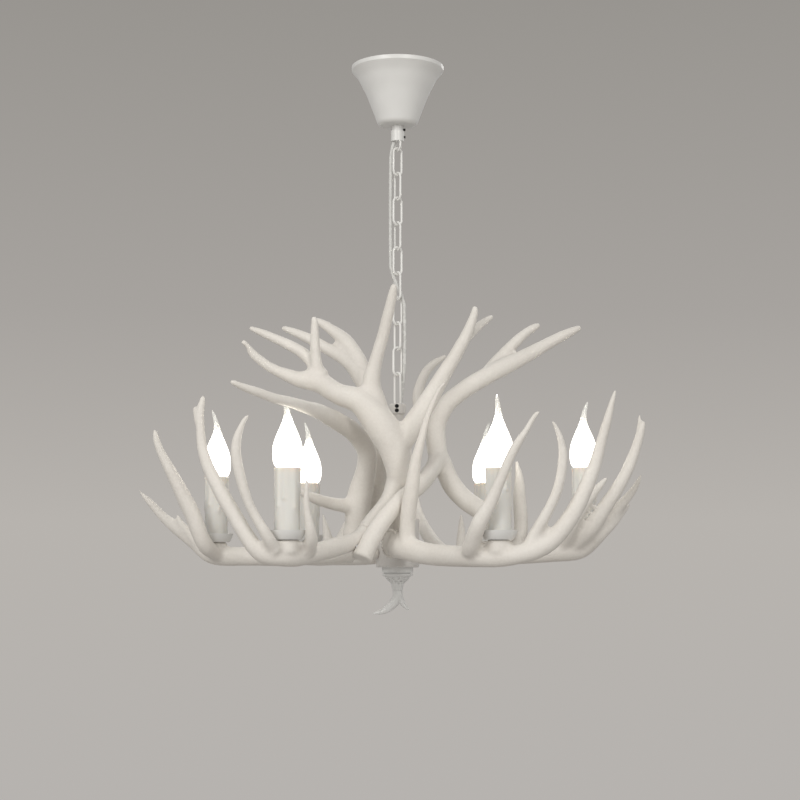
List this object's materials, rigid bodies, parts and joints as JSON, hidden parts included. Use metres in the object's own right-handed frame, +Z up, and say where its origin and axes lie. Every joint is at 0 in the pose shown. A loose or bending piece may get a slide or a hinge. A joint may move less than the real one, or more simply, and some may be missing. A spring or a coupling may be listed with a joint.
{
  "type": "antler chandelier",
  "caption": "Chandelier of cast antlers round a central hub, with candle lamps in the antlers, hung by a chain from a bell canopy on the ceiling.",
  "frame": {"origin": "centre of the canopy's rim in the ceiling plane", "axes": "+Z up into the ceiling, +X to the picture's right, -Y towards the picture's viewer"},
  "size_m": [0.6489, 0.5228, 0.7104],
  "materials": {
    "antler": "cast resin, matt warm white with a faint satin sheen",
    "cup": "thin pressed metal, satin white paint",
    "candle": "ivory-white sleeve, waxy satin",
    "bulb": "frosted clear-tipped flame bulb, lit",
    "lamp_cap": "plated screw cap",
    "holder": "white moulded lamp holder",
    "canopy": "spun steel, satin white paint",
    "chain": "welded wire links, white paint",
    "column": "white painted steel tube",
    "hub": "white painted cast hub",
    "cord": "translucent pale grey sheath",
    "terminal": "pale grey moulded block",
    "black_screw": "blackened steel grub screws",
    "zinc": "zinc plated steel"
  },
  "bodies": {
    "canopy": {"canopy_cover": "canopy", "ceiling_bracket": "zinc", "threaded_nipple": "zinc", "nipple_nut": "zinc", "canopy_collar": "canopy", "collar_screws": "black_screw", "canopy_loop": "chain", "terminal_block": "terminal", "terminal_screws": "zinc", "power_cord": "cord"},
    "link_1": {"chain_link_1": "chain"},
    "link_2": {"chain_link_2": "chain"},
    "link_3": {"chain_link_3": "chain"},
    "link_4": {"chain_link_4": "chain"},
    "link_5": {"chain_link_5": "chain"},
    "link_6": {"chain_link_6": "chain"},
    "link_7": {"chain_link_7": "chain"},
    "link_8": {"chain_link_8": "chain"},
    "link_9": {"chain_link_9": "chain"},
    "chandelier": {"antler_studs": "zinc", "bulb_caps": "lamp_cap", "bulb_glass_1": "bulb", "bulb_glass_2": "bulb", "bulb_glass_3": "bulb", "bulb_glass_4": "bulb", "bulb_glass_5": "bulb", "bulb_glass_6": "bulb", "candle_sleeve_1": "candle", "candle_sleeve_2": "candle", "candle_sleeve_3": "candle", "candle_sleeve_4": "candle", "candle_sleeve_5": "candle", "candle_sleeve_6": "candle", "column_cap": "column", "column_loop": "chain", "column_tube": "column", "drip_cup_1": "cup", "drip_cup_2": "cup", "drip_cup_3": "cup", "drip_cup_4": "cup", "drip_cup_5": "cup", "drip_cup_6": "cup", "finial_antler": "antler", "finial_cap": "hub", "finial_nut": "zinc", "finial_rod": "zinc", "hub_core": "hub", "hub_plate": "hub", "lamp_holders": "holder", "lamp_tubes": "zinc", "lower_antler_1": "antler", "lower_antler_2": "antler", "lower_antler_3": "antler", "lower_antler_4": "antler", "lower_antler_5": "antler", "lower_antler_6": "antler", "upper_antler_front": "antler", "upper_antler_left": "antler", "upper_antler_right": "antler"}
  },
  "joints": [
    {"name": "link_1_swing", "type": "hinge", "parent": "canopy", "child": "link_1", "pos_m": [0, 0, -0.1107], "axis": [-0.5736, 0.8192, 0], "range_deg": [-15, 15], "deforming": ["power_cord"]},
    {"name": "link_2_swing", "type": "hinge", "parent": "link_1", "child": "link_2", "pos_m": [0, 0, -0.1434], "axis": [0.8192, 0.5736, 0], "range_deg": [-15, 15], "deforming": ["power_cord"]},
    {"name": "link_3_swing", "type": "hinge", "parent": "link_2", "child": "link_3", "pos_m": [0, 0, -0.1761], "axis": [-0.5736, 0.8192, 0], "range_deg": [-15, 15], "deforming": ["power_cord"]},
    {"name": "link_4_swing", "type": "hinge", "parent": "link_3", "child": "link_4", "pos_m": [0, 0, -0.2088], "axis": [0.8192, 0.5736, 0], "range_deg": [-15, 15], "deforming": ["power_cord"]},
    {"name": "link_5_swing", "type": "hinge", "parent": "link_4", "child": "link_5", "pos_m": [0, 0, -0.2415], "axis": [-0.5736, 0.8192, 0], "range_deg": [-15, 15], "deforming": ["power_cord"]},
    {"name": "link_6_swing", "type": "hinge", "parent": "link_5", "child": "link_6", "pos_m": [0, 0, -0.2742], "axis": [0.8192, 0.5736, 0], "range_deg": [-15, 15], "deforming": ["power_cord"]},
    {"name": "link_7_swing", "type": "hinge", "parent": "link_6", "child": "link_7", "pos_m": [0, 0, -0.3069], "axis": [-0.5736, 0.8192, 0], "range_deg": [-15, 15], "deforming": ["power_cord"]},
    {"name": "link_8_swing", "type": "hinge", "parent": "link_7", "child": "link_8", "pos_m": [0, 0, -0.3396], "axis": [0.8192, 0.5736, 0], "range_deg": [-15, 15], "deforming": ["power_cord"]},
    {"name": "link_9_swing", "type": "hinge", "parent": "link_8", "child": "link_9", "pos_m": [0, 0, -0.3723], "axis": [-0.5736, 0.8192, 0], "range_deg": [-15, 15], "deforming": ["power_cord"]},
    {"name": "chandelier_swing", "type": "hinge", "parent": "link_9", "child": "chandelier", "pos_m": [0, 0, -0.405], "axis": [0.8192, 0.5736, 0], "range_deg": [-15, 15], "deforming": ["power_cord"]}
  ]
}
